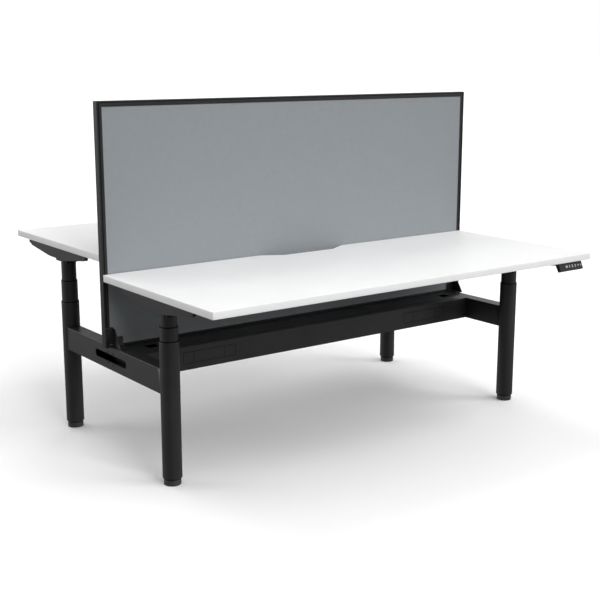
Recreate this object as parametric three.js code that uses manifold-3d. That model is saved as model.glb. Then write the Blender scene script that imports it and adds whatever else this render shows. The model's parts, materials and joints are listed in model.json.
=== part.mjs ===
// Benching desk for two: a back-to-back pair of electric sit-stand desks that share two end frames,
// a cable duct and a fabric dividing screen. Millimetres, +Z up, X along the bench, front desk at -Y.
// The origin is on the floor, under the middle of the worktops.

import * as THREE from 'three';
import { mergeVertices } from 'three/addons/utils/BufferGeometryUtils.js';
import Module from 'manifold-3d';

const wasm = await Module();
wasm.setup();

// Fits: faces that seat on each other, and pieces that slide in each other
const SEAT = 0.3;
const RUN = 0.3;
const OVERCUT = 2;

// Worktops, at the heights in which the two desks stand
const TOP_LENGTH = 1800;
const TOP_DEPTH = 750;
const TOP_THICK = 25;
const TOP_GAP = 30;
const FRONT_HEIGHT = 696;
const REAR_HEIGHT = 766;
const SCALLOP_MOUTH = 414;
const SCALLOP_BASE = 246;
const SCALLOP_DEPTH = 50;
const SCALLOP_ROUND = 18;

// End frames: four columns in a rectangle, standing a little left of the worktops' middle
const TOP_OVERHANG = 63;
const COLUMN_SPAN_Y = 786;
const FRAME_SHIFT = -10;

// Three-stage columns
const OUTER_D = 70;
const MID_D = 64;
const INNER_D = 58;
const TUBE_WALL = 2;
const GUIDE_LENGTH = 20;
const COLUMN_BOTTOM = 26;
const COLUMN_TOP = 523;
const MID_PROUD = 16;
const HEAD_CLEAR = 4;
const STAGE_STROKE = 325;
const PLUG_THICK = 16;
const MID_FLOOR = 10;
const STAGE_STEP = 6;
const TUBE_SIDES = 28;
const EDGE_BREAK = 1;

// Telescopic lifting screw in each column: a base screw, a sleeve screw round it, a drive tube outside
const SCREW_D = 14;
const SCREW_FOOT_D = 30;
const SCREW_FOOT_H = 4;
const SLEEVE_D = 24;
const DRIVE_TUBE_D = 32;
const SCREW_BELOW_RIM = 28;
const SLEEVE_BELOW_RIM = 24;
const SCREW_SIDES = 16;

// Levelling feet
const FOOT_D = 62;
const FOOT_H = 21;
const FOOT_CHAMFER = 1.5;
const STEM_D = 10;
const STEM_DEPTH = 12;

// Beams that join a front and a rear column
const BEAM_W = 56;
const BEAM_H = 90;
const BEAM_TOP = 420;
const BEAM_WALL = 3;
const SLOT_LENGTH = 245;
const SLOT_HEIGHT = 29;
const SLOT_ROUND = 12;

// Cable duct between the beams, with two lids
const DUCT_W = 340;
const DUCT_WALL = 2;
const DUCT_FLANGE = 26;
const DUCT_LIP = 12;
const PORT_FROM_END = 156;
const PORT_Y = 80;
const PORT_SIZE = 45;
const PORT_ROUND = 4;

// Side arms under the worktops, one at each column head
const ARM_W = 50;
const ARM_WALL = 3;
const ARM_DEPTH = 60;
const ARM_EDGE_CLEAR = 68;
const ARM_LONG_TIP = 29;
const ARM_LONG_ROUND = 6;
const ARM_KNEE = 130;
const ARM_KNEE_DEPTH = 52;
const ARM_STEP = 60;
const ARM_STEP_DEPTH = 53;
const ARM_STEP_ROUND = 3;
const ARM_SHORT = 205;
const ARM_SHORT_TIP = 27;
const ARM_FLAT = 12;
const ARM_HEEL_DEPTH = 54.5;
const ARM_ROUND = 14;
const ARM_TIP_SWEEP = 2;
const ARM_TIP_W = 12;
const ARM_SHOULDER = 6;

// Drive in each column head: a gearbox that caps the column inside the arm, and a motor along the arm
const GEARBOX_LONG = 54;
const GEARBOX_SHORT = 31;
const GEARBOX_NOSE = 16;
const MOTOR_D = 36;
const MOTOR_LENGTH = 104;
const MOTOR_CAP_D = 30;
const MOTOR_CAP_LENGTH = 8;
const MOTOR_SIDES = 20;

// Crossbars and control boxes under the worktops
const BAR_W = 80;
const BAR_H = 38;
const BAR_WALL = 2.5;
const BAR_LIP = 12;
const BOX_L = 260;
const BOX_W = 96;
const BOX_H = 36;
const BOX_ROUND = 8;
const BOX_X = 260;
const BOX_BEHIND_BAR = 30;

// Handsets under the front edge of each worktop, near its user's right-hand corner
const HANDSET_W = 135;
const HANDSET_FROM_END = 52;
const HANDSET_FACE = 33;
const HANDSET_LEAN = Math.atan2(13, 30);
const HANDSET_THICK = 14;
const HANDSET_SETBACK = 6;
const HANDSET_TAB = 52;
const HANDSET_TAB_H = 5;
const KEY_NAMES = ['memory', 'one', 'two', 'three', 'down', 'up'];
const KEY_SIZE = 11.5;
const KEY_ROUND = 2;
const KEY_PITCH = 17;
const KEY_FROM_END = 8.5;
const KEY_PROUD = 0.6;
const KEY_SUNK = 3;
const KEY_TRAVEL = 1.2;

// Dividing screen: a mitred frame round a fabric-covered board
const SCREEN_TOP = 1319;
const SCREEN_THICK = 28;
const FRAME_FACE = 20;
const BOTTOM_RAIL_H = 9;
const GROOVE_AT = 5;
const GROOVE_W = 4;
const GROOVE_DEPTH = 3;
const PANEL_THICK = 25;
const PANEL_INSET = 6;
const PANEL_BOTTOM_INSET = 4;
const MITRE_GAP = 0.2;

// Screen brackets: a stepped plate, a gusset and a foot on each beam
const BRACKET_PLATE = 3;
const BRACKET_FROM_END = 1;
const BRACKET_W = 70;
const BRACKET_H = 77;
const BRACKET_STEP_H = 38;
const BRACKET_ROUND = 6;
const GUSSET_FROM_EDGE = 30;
const GUSSET_REACH = 56;
const GUSSET_TOP_REACH = 10;
const BRACKET_SLOT_L = 14;
const BRACKET_SLOT_H = 6;
const BRACKET_SLOT_CLEAR = 1.5;
const BRACKET_SLOT_RISE = 11;

// Heights that follow from the stack of a fully lowered column
const headLowest = COLUMN_TOP + MID_PROUD + HEAD_CLEAR;
const undersideLowest = headLowest + ARM_DEPTH + SEAT;
const topLowest = undersideLowest + TOP_THICK;
const lift = { front: FRONT_HEIGHT - topLowest, rear: REAR_HEIGHT - topLowest };
const midTopLowest = COLUMN_TOP + MID_PROUD;
const plugTop = COLUMN_BOTTOM + PLUG_THICK;
const screwBottom = plugTop + SEAT;
const midBottomLowest = screwBottom + SCREW_FOOT_H + RUN + EDGE_BREAK;
const innerBottomLowest = midBottomLowest + MID_FLOOR + STAGE_STEP;
const beamBottom = BEAM_TOP - BEAM_H;
const ductTop = BEAM_TOP;
const ductBottom = beamBottom;
const lidThick = DUCT_WALL;
const screenBottom = BEAM_TOP + SEAT;
const columnOut = TOP_LENGTH / 2 - TOP_OVERHANG;
const columnX = { left: FRAME_SHIFT - columnOut, right: FRAME_SHIFT + columnOut };
const columnY = { front: -COLUMN_SPAN_Y / 2, rear: COLUMN_SPAN_Y / 2 };
const columnToBack = (COLUMN_SPAN_Y - TOP_GAP) / 2;
const columnToFront = TOP_DEPTH - columnToBack;
const armLong = Math.min(columnToBack, columnToFront) - ARM_EDGE_CLEAR;
const screenLength = TOP_LENGTH;
const portX = TOP_LENGTH / 2 - PORT_FROM_END;
const sideSign = { left: -1, right: 1 };
const deskSign = { front: -1, rear: 1 };

const PAINT = { color: 0x2c2c2d, roughness: 0.55, metalness: 0.3 };
const LAMINATE = { color: 0xf3f3f1, roughness: 0.45, metalness: 0 };
const FABRIC = { color: 0x8f9499, roughness: 0.95, metalness: 0 };
const STEEL = { color: 0xb4b6b8, roughness: 0.35, metalness: 0.9 };
const PLASTIC = { color: 0x1d1d1e, roughness: 0.5, metalness: 0 };
const KEYCAP = { color: 0x3a3a3c, roughness: 0.6, metalness: 0 };

// Solid from a geometry: shared vertices merged, slivers dropped, faces turned outwards
function solid(form) {
  if (form instanceof wasm.Manifold) return form;
  const bare = form.clone();
  bare.deleteAttribute('normal');
  bare.deleteAttribute('uv');
  const merged = mergeVertices(bare, 1e-4);
  const points = merged.attributes.position.array;
  const corners = merged.index.array;
  const triangles = [];
  let volume = 0;
  const a = new THREE.Vector3();
  const b = new THREE.Vector3();
  const c = new THREE.Vector3();
  for (let i = 0; i < corners.length; i += 3) {
    const [p, q, r] = [corners[i], corners[i + 1], corners[i + 2]];
    if (p === q || q === r || r === p) continue;
    triangles.push([p, q, r]);
    a.fromArray(points, 3 * p);
    b.fromArray(points, 3 * q);
    c.fromArray(points, 3 * r);
    volume += a.dot(b.cross(c));
  }
  const ordered = volume < 0 ? triangles.map(([p, q, r]) => [p, r, q]) : triangles;
  return new wasm.Manifold(new wasm.Mesh({
    numProp: 3,
    vertProperties: new Float32Array(points),
    triVerts: new Uint32Array(ordered.flat()),
  }));
}

function join(first, ...others) {
  return others.reduce((whole, other) => whole.add(solid(other)), solid(first));
}

function cut(body, ...tools) {
  return tools.reduce((left, tool) => left.subtract(solid(tool)), solid(body));
}

function common(first, second) {
  return solid(first).intersect(solid(second));
}

function piece(name, form, look) {
  const mesh = solid(form).getMesh();
  const geometry = new THREE.BufferGeometry();
  geometry.setAttribute('position', new THREE.BufferAttribute(new Float32Array(mesh.vertProperties), 3));
  geometry.setIndex(new THREE.BufferAttribute(new Uint32Array(mesh.triVerts), 1));
  geometry.computeVertexNormals();
  const made = new THREE.Mesh(geometry, new THREE.MeshStandardMaterial(look));
  made.name = name;
  return made;
}

function block(x0, x1, y0, y1, z0, z1) {
  const geometry = new THREE.BoxGeometry(x1 - x0, y1 - y0, z1 - z0);
  return geometry.translate((x0 + x1) / 2, (y0 + y1) / 2, (z0 + z1) / 2);
}

function outline(points) {
  return new THREE.Shape(points.map(([u, v]) => new THREE.Vector2(u, v)));
}

function roundedRect(width, height, radius) {
  const shape = new THREE.Shape();
  const u = width / 2;
  const v = height / 2;
  shape.absarc(u - radius, v - radius, radius, 0, Math.PI / 2);
  shape.absarc(-u + radius, v - radius, radius, Math.PI / 2, Math.PI);
  shape.absarc(-u + radius, -v + radius, radius, Math.PI, 1.5 * Math.PI);
  shape.absarc(u - radius, -v + radius, radius, 1.5 * Math.PI, 2 * Math.PI);
  return shape;
}

function extruded(shape, depth, curveSegments = 4) {
  return new THREE.ExtrudeGeometry(shape, { depth, bevelEnabled: false, curveSegments });
}

// A shape drawn in X and Y, raised from z0
function raised(shape, z0, height) {
  return extruded(shape, height).translate(0, 0, z0);
}

// A shape drawn in Y and Z, carried along X from x0
function alongX(shape, x0, length) {
  const turn = new THREE.Matrix4().set(0, 0, 1, x0, 1, 0, 0, 0, 0, 1, 0, 0, 0, 0, 0, 1);
  return extruded(shape, length).applyMatrix4(turn);
}

// A shape drawn in X and Z, carried towards -Y from y0
function alongMinusY(shape, y0, length) {
  return extruded(shape, length).rotateX(Math.PI / 2).translate(0, y0, 0);
}

// A profile of radius and height points, turned about the Z axis
function turned(profile, sides) {
  const points = profile.map(([r, z]) => new THREE.Vector2(r, z));
  return new THREE.LatheGeometry(points, sides).rotateX(Math.PI / 2);
}

function closedLoop(profile) {
  return [...profile, profile[0]];
}

// Fixed outer tube of a column, with its plug, the foot's blind hole and a guide lip at the rim
function outerTube() {
  const r = OUTER_D / 2;
  const bore = r - TUBE_WALL;
  const guide = MID_D / 2 + RUN;
  const stemHole = STEM_D / 2 + RUN;
  return turned([
    [0, COLUMN_BOTTOM + STEM_DEPTH],
    [stemHole, COLUMN_BOTTOM + STEM_DEPTH],
    [stemHole, COLUMN_BOTTOM],
    [r - EDGE_BREAK, COLUMN_BOTTOM],
    [r, COLUMN_BOTTOM + EDGE_BREAK],
    [r, COLUMN_TOP],
    [guide, COLUMN_TOP],
    [guide, COLUMN_TOP - GUIDE_LENGTH],
    [bore, COLUMN_TOP - GUIDE_LENGTH],
    [bore, plugTop],
    [0, plugTop],
  ], TUBE_SIDES);
}

// Screw that stands on the plug inside the outer tube
function baseScrew() {
  const r = SCREW_D / 2;
  const footTop = screwBottom + SCREW_FOOT_H;
  const top = COLUMN_TOP - SCREW_BELOW_RIM;
  return turned([
    [0, screwBottom],
    [SCREW_FOOT_D / 2, screwBottom],
    [SCREW_FOOT_D / 2, footTop],
    [r, footTop],
    [r, top],
    [0, top],
  ], SCREW_SIDES);
}

// Middle tube in its lowest place, with the sleeve screw that stands on its floor
function midTube() {
  const r = MID_D / 2;
  const bore = r - TUBE_WALL;
  const guide = INNER_D / 2 + RUN;
  const nut = SCREW_D / 2 + RUN;
  const sleeve = SLEEVE_D / 2;
  const floor = midBottomLowest + MID_FLOOR;
  const sleeveTop = midTopLowest - SLEEVE_BELOW_RIM;
  return turned(closedLoop([
    [nut, midBottomLowest],
    [r, midBottomLowest],
    [r, midTopLowest],
    [guide, midTopLowest],
    [guide, midTopLowest - GUIDE_LENGTH],
    [bore, midTopLowest - GUIDE_LENGTH],
    [bore, floor],
    [sleeve, floor],
    [sleeve, sleeveTop],
    [nut, sleeveTop],
  ]), TUBE_SIDES);
}

function innerTube() {
  const r = INNER_D / 2;
  const top = headLowest - SEAT;
  return turned(closedLoop([
    [r - TUBE_WALL, innerBottomLowest],
    [r, innerBottomLowest],
    [r, top],
    [r - TUBE_WALL, top],
  ]), TUBE_SIDES);
}

// Levelling foot: a round pad with a threaded stem
function levellingFoot() {
  const r = FOOT_D / 2;
  const stem = STEM_D / 2;
  const top = COLUMN_BOTTOM + STEM_DEPTH - SEAT;
  return turned([
    [0, 0],
    [r - FOOT_CHAMFER, 0],
    [r, FOOT_CHAMFER],
    [r, FOOT_H - EDGE_BREAK],
    [r - EDGE_BREAK, FOOT_H],
    [stem, FOOT_H],
    [stem, top],
    [0, top],
  ], TUBE_SIDES);
}

// Side view of the arm: a wing, long towards +Y and short towards -Y, with a step at the column head
function armSide() {
  const shape = new THREE.Shape();
  shape.moveTo(-ARM_SHORT, 0);
  shape.lineTo(armLong, 0);
  shape.lineTo(armLong, ARM_LONG_ROUND - ARM_LONG_TIP);
  shape.quadraticCurveTo(
    armLong, -ARM_LONG_TIP,
    armLong - ARM_LONG_ROUND, -ARM_LONG_TIP - ARM_TIP_SWEEP,
  );
  shape.lineTo(ARM_KNEE, -ARM_KNEE_DEPTH);
  shape.lineTo(ARM_STEP + ARM_STEP_ROUND, -ARM_STEP_DEPTH);
  shape.quadraticCurveTo(ARM_STEP, -ARM_STEP_DEPTH, ARM_STEP, -ARM_DEPTH);
  shape.lineTo(-ARM_FLAT, -ARM_DEPTH);
  shape.lineTo(-ARM_FLAT, -ARM_HEEL_DEPTH);
  shape.lineTo(ARM_ROUND - ARM_SHORT, -ARM_SHORT_TIP - ARM_TIP_SWEEP);
  shape.quadraticCurveTo(-ARM_SHORT, -ARM_SHORT_TIP, -ARM_SHORT, ARM_ROUND - ARM_SHORT_TIP);
  shape.closePath();
  return shape;
}

// Side view of the space inside the arm, open at the top and at both tips
function armInside() {
  return outline([
    [-ARM_SHORT - OVERCUT, OVERCUT],
    [-ARM_SHORT - OVERCUT, ARM_WALL - ARM_SHORT_TIP],
    [-ARM_FLAT, ARM_WALL - ARM_HEEL_DEPTH],
    [ARM_STEP, ARM_WALL - ARM_STEP_DEPTH],
    [ARM_KNEE, ARM_WALL - ARM_KNEE_DEPTH],
    [armLong + OVERCUT, ARM_WALL - ARM_LONG_TIP],
    [armLong + OVERCUT, OVERCUT],
  ]);
}

// Plan of the arm: a straight outer wall, and an inner wall that draws in from the crossbar and the
// motor to narrow tips
function armPlan(inset) {
  const outer = inset - ARM_W / 2;
  const inner = ARM_W / 2 - inset;
  const tip = ARM_TIP_W - ARM_W / 2 - inset;
  const shortEnd = -ARM_SHORT - OVERCUT;
  const longEnd = armLong + OVERCUT;
  return outline([
    [outer, shortEnd],
    [tip, shortEnd],
    [inner, -BAR_W / 2 - ARM_SHOULDER],
    [inner, GEARBOX_LONG + MOTOR_LENGTH + MOTOR_CAP_LENGTH + ARM_SHOULDER],
    [tip, longEnd],
    [outer, longEnd],
  ]);
}

// Side arm: a pressed channel with its web below, cut open over the column for the gearbox
function sideArm() {
  const top = undersideLowest - SEAT;
  const seenFrom = (side, plan) => common(
    alongX(side, -ARM_W, 2 * ARM_W).translate(0, 0, top),
    raised(plan, top - ARM_DEPTH - OVERCUT, ARM_DEPTH + 2 * OVERCUT),
  );
  const inside = ARM_W / 2 - ARM_WALL;
  const opening = block(
    -inside, inside,
    -GEARBOX_SHORT - SEAT, GEARBOX_LONG + SEAT,
    top - ARM_DEPTH - OVERCUT, top,
  );
  return cut(seenFrom(armSide(), armPlan(0)), seenFrom(armInside(), armPlan(ARM_WALL)), opening);
}

// Gearbox inside the arm with a sloped nose, motor along its long side, and the drive tube below
function driveUnit() {
  const top = undersideLowest - SEAT - ARM_WALL - SEAT;
  const half = ARM_W / 2 - ARM_WALL - SEAT;
  const gearbox = alongX(outline([
    [-GEARBOX_SHORT, headLowest],
    [GEARBOX_LONG, headLowest],
    [GEARBOX_LONG, top],
    [GEARBOX_NOSE - GEARBOX_SHORT, top],
    [-GEARBOX_SHORT, top - GEARBOX_NOSE],
  ]), -half, 2 * half);
  const r = MOTOR_D / 2;
  const cap = MOTOR_CAP_D / 2;
  const motor = turned([
    [0, -OVERCUT],
    [r, -OVERCUT],
    [r, MOTOR_LENGTH],
    [cap, MOTOR_LENGTH + EDGE_BREAK],
    [cap, MOTOR_LENGTH + MOTOR_CAP_LENGTH],
    [0, MOTOR_LENGTH + MOTOR_CAP_LENGTH],
  ], MOTOR_SIDES).rotateX(-Math.PI / 2).translate(0, GEARBOX_LONG, top - r);
  const bore = SLEEVE_D / 2 + RUN;
  const wall = DRIVE_TUBE_D / 2;
  const tube = turned([
    [0, headLowest + OVERCUT],
    [wall, headLowest + OVERCUT],
    [wall, innerBottomLowest],
    [bore, innerBottomLowest],
    [bore, headLowest],
    [0, headLowest],
  ], SCREW_SIDES);
  return join(gearbox, motor, tube);
}

// Rectangular beam between two columns, coped to their round walls, with a cable slot through both sides
function endBeam(side) {
  const x = columnX[side];
  const half = BEAM_W / 2;
  const inside = half - BEAM_WALL;
  const r = OUTER_D / 2 + SEAT;
  const copes = Object.values(columnY).map((y) => turned([
    [0, beamBottom - OVERCUT],
    [r, beamBottom - OVERCUT],
    [r, BEAM_TOP + OVERCUT],
    [0, BEAM_TOP + OVERCUT],
  ], TUBE_SIDES).translate(x, y, 0));
  const hollow = block(
    x - inside, x + inside,
    columnY.front - OVERCUT, columnY.rear + OVERCUT,
    beamBottom + BEAM_WALL, BEAM_TOP - BEAM_WALL,
  );
  const slot = alongX(roundedRect(SLOT_LENGTH, SLOT_HEIGHT, SLOT_ROUND), x - BEAM_W, 2 * BEAM_W)
    .translate(0, 0, beamBottom + BEAM_H / 2);
  const whole = block(x - half, x + half, columnY.front, columnY.rear, beamBottom, BEAM_TOP);
  return cut(whole, hollow, slot, ...copes);
}

// Channel of the cable duct: top flanges turned inwards, with a lip a step lower that carries the lids
const ductEnd = {
  left: columnX.left + BEAM_W / 2 + SEAT,
  right: columnX.right - BEAM_W / 2 - SEAT,
};

function cableDuct() {
  const y = DUCT_W / 2;
  const wall = y - DUCT_WALL;
  const flange = y - DUCT_FLANGE;
  const lip = flange - DUCT_LIP;
  const seatTop = ductTop - lidThick - SEAT;
  const seatBottom = seatTop - DUCT_WALL;
  const floor = ductBottom + DUCT_WALL;
  const half = [
    [y, ductBottom],
    [y, ductTop],
    [flange, ductTop],
    [flange, seatTop],
    [lip, seatTop],
    [lip, seatBottom],
    [flange + DUCT_WALL, seatBottom],
    [flange + DUCT_WALL, ductTop - DUCT_WALL],
    [wall, ductTop - DUCT_WALL],
    [wall, floor],
  ];
  const mirrored = half.map(([u, v]) => [-u, v]).reverse();
  return alongX(outline([...half, ...mirrored]), ductEnd.left, ductEnd.right - ductEnd.left);
}

// Lid over one half of the duct, with a leg down to the floor and a cable port near each end
function ductLid(desk) {
  const sign = deskSign[desk];
  const outer = DUCT_W / 2 - DUCT_FLANGE - RUN;
  const bottom = ductTop - lidThick;
  const span = (u, v) => [Math.min(sign * u, sign * v), Math.max(sign * u, sign * v)];
  const x0 = ductEnd.left + RUN;
  const x1 = ductEnd.right - RUN;
  const plate = block(x0, x1, ...span(RUN, outer), bottom, ductTop);
  const floor = ductBottom + DUCT_WALL + SEAT;
  const leg = block(x0, x1, ...span(RUN, RUN + lidThick), floor, bottom + lidThick / 2);
  const ports = [-portX, portX].map((x) => raised(
    roundedRect(PORT_SIZE, PORT_SIZE, PORT_ROUND),
    bottom - OVERCUT,
    lidThick + 2 * OVERCUT,
  ).translate(x, sign * PORT_Y, 0));
  return cut(join(plate, leg), ...ports);
}

// Worktop of the front desk, with a cable scallop in the middle of its back edge
function worktop() {
  const half = TOP_LENGTH / 2;
  const back = -TOP_GAP / 2;
  const front = back - TOP_DEPTH;
  const floor = back - SCALLOP_DEPTH;
  const mouth = SCALLOP_MOUTH / 2;
  const base = SCALLOP_BASE / 2;
  const run = Math.hypot(mouth - base, SCALLOP_DEPTH);
  const du = SCALLOP_ROUND * (mouth - base) / run;
  const dv = SCALLOP_ROUND * SCALLOP_DEPTH / run;
  const shape = new THREE.Shape();
  shape.moveTo(-half, front);
  shape.lineTo(half, front);
  shape.lineTo(half, back);
  shape.lineTo(mouth + SCALLOP_ROUND, back);
  shape.quadraticCurveTo(mouth, back, mouth - du, back - dv);
  shape.lineTo(base + du, floor + dv);
  shape.quadraticCurveTo(base, floor, base - SCALLOP_ROUND, floor);
  shape.lineTo(SCALLOP_ROUND - base, floor);
  shape.quadraticCurveTo(-base, floor, -base - du, floor + dv);
  shape.lineTo(du - mouth, back - dv);
  shape.quadraticCurveTo(-mouth, back, -mouth - SCALLOP_ROUND, back);
  shape.lineTo(-half, back);
  shape.closePath();
  return raised(shape, undersideLowest, TOP_THICK);
}

// Crossbar between a desk's two side arms: an inverted channel with turned-in lips
function crossbar(desk) {
  const y = BAR_W / 2;
  const wall = y - BAR_WALL;
  const lip = y - BAR_LIP;
  const half = [
    [y, 0],
    [y, -BAR_H],
    [lip, -BAR_H],
    [lip, BAR_WALL - BAR_H],
    [wall, BAR_WALL - BAR_H],
    [wall, -BAR_WALL],
  ];
  const mirrored = half.map(([u, v]) => [-u, v]).reverse();
  const x0 = columnX.left + ARM_W / 2 + SEAT;
  const x1 = columnX.right - ARM_W / 2 - SEAT;
  return alongX(outline([...half, ...mirrored]), x0, x1 - x0)
    .translate(0, columnY[desk], undersideLowest - SEAT);
}

// Control box of the front desk, screwed up under the worktop behind the crossbar
function controlBox() {
  const top = undersideLowest - SEAT;
  const y = columnY.front + BAR_W / 2 + BOX_BEHIND_BAR + BOX_W / 2;
  const ear = BOX_L / 2 + 2 * BOX_ROUND;
  const body = raised(roundedRect(BOX_L, BOX_W, BOX_ROUND), top - BOX_H, BOX_H);
  const ears = raised(roundedRect(2 * ear, BOX_W / 2, BOX_ROUND), top - BAR_WALL, BAR_WALL);
  return join(body.translate(BOX_X, y, 0), ears.translate(BOX_X, y, 0));
}

// Handset of the front desk. Its face leans back under the worktop's edge: the foot of the face is
// towards the user. Places on the face are measured along it from its top, and out of it.
const handsetRight = TOP_LENGTH / 2 - HANDSET_FROM_END;
const faceTop = {
  y: -TOP_GAP / 2 - TOP_DEPTH + HANDSET_SETBACK,
  z: undersideLowest - SEAT,
};
const faceDown = { y: -Math.sin(HANDSET_LEAN), z: -Math.cos(HANDSET_LEAN) };
const faceOut = { y: -Math.cos(HANDSET_LEAN), z: Math.sin(HANDSET_LEAN) };

function facePoint(down, out) {
  return [
    faceTop.y + down * faceDown.y + out * faceOut.y,
    faceTop.z + down * faceDown.z + out * faceOut.z,
  ];
}

// A rounded pad on the handset's face, at a place along X, from one depth to another
function facePad(x, size, radius, low, high) {
  const [y, z] = facePoint(HANDSET_FACE / 2, low);
  const pad = extruded(roundedRect(size, size, radius), high - low, 3);
  return pad.rotateX(Math.PI / 2 - HANDSET_LEAN).translate(x, y, z);
}

function keyX(index) {
  return handsetRight - KEY_FROM_END - (KEY_NAMES.length - 1 - index) * KEY_PITCH;
}

function handset() {
  const backTop = faceTop.z - HANDSET_TAB_H;
  const [footY, footZ] = facePoint(HANDSET_FACE, -HANDSET_THICK);
  const [headY] = facePoint(0, -HANDSET_THICK);
  const shape = outline([
    [faceTop.y, faceTop.z],
    facePoint(HANDSET_FACE, 0),
    [footY, footZ],
    [headY + HANDSET_TAB_H, backTop],
    [faceTop.y + HANDSET_TAB, backTop],
    [faceTop.y + HANDSET_TAB, faceTop.z],
  ]);
  const depth = KEY_SUNK + KEY_TRAVEL + RUN;
  const pockets = KEY_NAMES.map((_, index) => (
    facePad(keyX(index), KEY_SIZE + 2 * RUN, KEY_ROUND + RUN, -depth, OVERCUT)
  ));
  return cut(alongX(shape, handsetRight - HANDSET_W, HANDSET_W), ...pockets);
}

function handsetKey(index) {
  return facePad(keyX(index), KEY_SIZE, KEY_ROUND, -KEY_SUNK, KEY_PROUD);
}

// Frame section of the screen: width across the frame, thickness along the other axis, with a shadow
// groove in both faces and a slot for the board
function frameSection(width, inset) {
  const h = SCREEN_THICK / 2;
  const g = h - GROOVE_DEPTH;
  const p = PANEL_THICK / 2 + RUN;
  const half = [
    [0, h],
    [GROOVE_AT, h],
    [GROOVE_AT, g],
    [GROOVE_AT + GROOVE_W, g],
    [GROOVE_AT + GROOVE_W, h],
    [width, h],
    [width, p],
    [width - inset, p],
  ];
  const mirrored = half.map(([u, v]) => [u, -v]).reverse();
  return [...half, ...mirrored];
}

// Upright of the screen frame, mitred at the top
function screenPost(side) {
  const sign = sideSign[side];
  const outer = sign * screenLength / 2;
  const section = frameSection(FRAME_FACE, PANEL_INSET).map(([u, v]) => [outer - sign * u, v]);
  const post = raised(outline(section), screenBottom, SCREEN_TOP - screenBottom);
  const mitre = outline([
    [outer + sign * OVERCUT, SCREEN_TOP + OVERCUT - MITRE_GAP],
    [outer - sign * (FRAME_FACE + OVERCUT), SCREEN_TOP + OVERCUT - MITRE_GAP],
    [outer - sign * (FRAME_FACE + OVERCUT), SCREEN_TOP - FRAME_FACE - OVERCUT - MITRE_GAP],
  ]);
  return cut(post, alongMinusY(mitre, SCREEN_THICK, 2 * SCREEN_THICK));
}

function screenTopRail() {
  const half = screenLength / 2;
  const section = frameSection(FRAME_FACE, PANEL_INSET).map(([u, v]) => [v, SCREEN_TOP - u]);
  const mitres = [-1, 1].map((sign) => alongMinusY(outline([
    [sign * (half + OVERCUT), SCREEN_TOP + OVERCUT + MITRE_GAP],
    [sign * (half + OVERCUT), SCREEN_TOP - FRAME_FACE - OVERCUT],
    [sign * (half - FRAME_FACE - OVERCUT), SCREEN_TOP - FRAME_FACE - OVERCUT + MITRE_GAP],
  ]), SCREEN_THICK, 2 * SCREEN_THICK));
  return cut(alongX(outline(section), -half, screenLength), ...mitres);
}

function screenBottomRail() {
  const h = SCREEN_THICK / 2;
  const p = PANEL_THICK / 2 + RUN;
  const top = screenBottom + BOTTOM_RAIL_H;
  const section = outline([
    [-h, screenBottom],
    [h, screenBottom],
    [h, top],
    [p, top],
    [p, top - PANEL_BOTTOM_INSET],
    [-p, top - PANEL_BOTTOM_INSET],
    [-p, top],
    [-h, top],
  ]);
  const half = screenLength / 2 - FRAME_FACE - SEAT;
  return alongX(section, -half, 2 * half);
}

function screenPanel() {
  const half = screenLength / 2 - FRAME_FACE + PANEL_INSET - RUN;
  const bottom = screenBottom + BOTTOM_RAIL_H - PANEL_BOTTOM_INSET + RUN;
  const top = SCREEN_TOP - FRAME_FACE + PANEL_INSET - RUN;
  return block(-half, half, -PANEL_THICK / 2, PANEL_THICK / 2, bottom, top);
}

// Bracket that holds a screen post on a beam: a stepped plate against the post, a gusset and a foot
function screenBracket(side) {
  const sign = sideSign[side];
  const foot = BEAM_TOP + SEAT;
  const face = -SCREEN_THICK / 2 - SEAT;
  const outer = sign * (screenLength / 2 - BRACKET_FROM_END);
  const gussetOut = outer - sign * GUSSET_FROM_EDGE;
  const gussetIn = gussetOut - sign * BRACKET_PLATE;
  const inner = outer - sign * BRACKET_W;
  const plate = new THREE.Shape();
  plate.moveTo(outer, foot);
  plate.lineTo(outer, foot + BRACKET_H);
  plate.lineTo(gussetIn + sign * BRACKET_ROUND, foot + BRACKET_H);
  plate.quadraticCurveTo(gussetIn, foot + BRACKET_H, gussetIn, foot + BRACKET_H - BRACKET_ROUND);
  plate.lineTo(gussetIn, foot + BRACKET_STEP_H);
  plate.lineTo(inner + sign * BRACKET_ROUND, foot + BRACKET_STEP_H);
  plate.quadraticCurveTo(inner, foot + BRACKET_STEP_H, inner, foot + BRACKET_STEP_H - BRACKET_ROUND);
  plate.lineTo(inner, foot);
  plate.closePath();
  const slotRound = (BRACKET_SLOT_H - EDGE_BREAK) / 2;
  const slot = alongMinusY(
    roundedRect(BRACKET_SLOT_L, BRACKET_SLOT_H, slotRound),
    face + OVERCUT,
    BRACKET_PLATE + 2 * OVERCUT,
  ).translate(gussetOut + sign * (BRACKET_SLOT_CLEAR + BRACKET_SLOT_L / 2), 0, foot + BRACKET_SLOT_RISE);
  const back = face - BRACKET_PLATE / 2;
  const tip = face - BRACKET_PLATE - GUSSET_REACH;
  const gusset = alongX(outline([
    [back, foot],
    [tip, foot],
    [tip, foot + BRACKET_PLATE],
    [face - BRACKET_PLATE - GUSSET_TOP_REACH, foot + BRACKET_H - BRACKET_ROUND],
    [back, foot + BRACKET_H - BRACKET_ROUND],
  ]), Math.min(gussetIn, gussetOut), BRACKET_PLATE);
  const [low, high] = [Math.min(gussetOut, inner), Math.max(gussetOut, inner)];
  const base = block(low, high, tip, back, foot, foot + BRACKET_PLATE);
  return join(cut(alongMinusY(plate, face, BRACKET_PLATE), slot), gusset, base);
}

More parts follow.
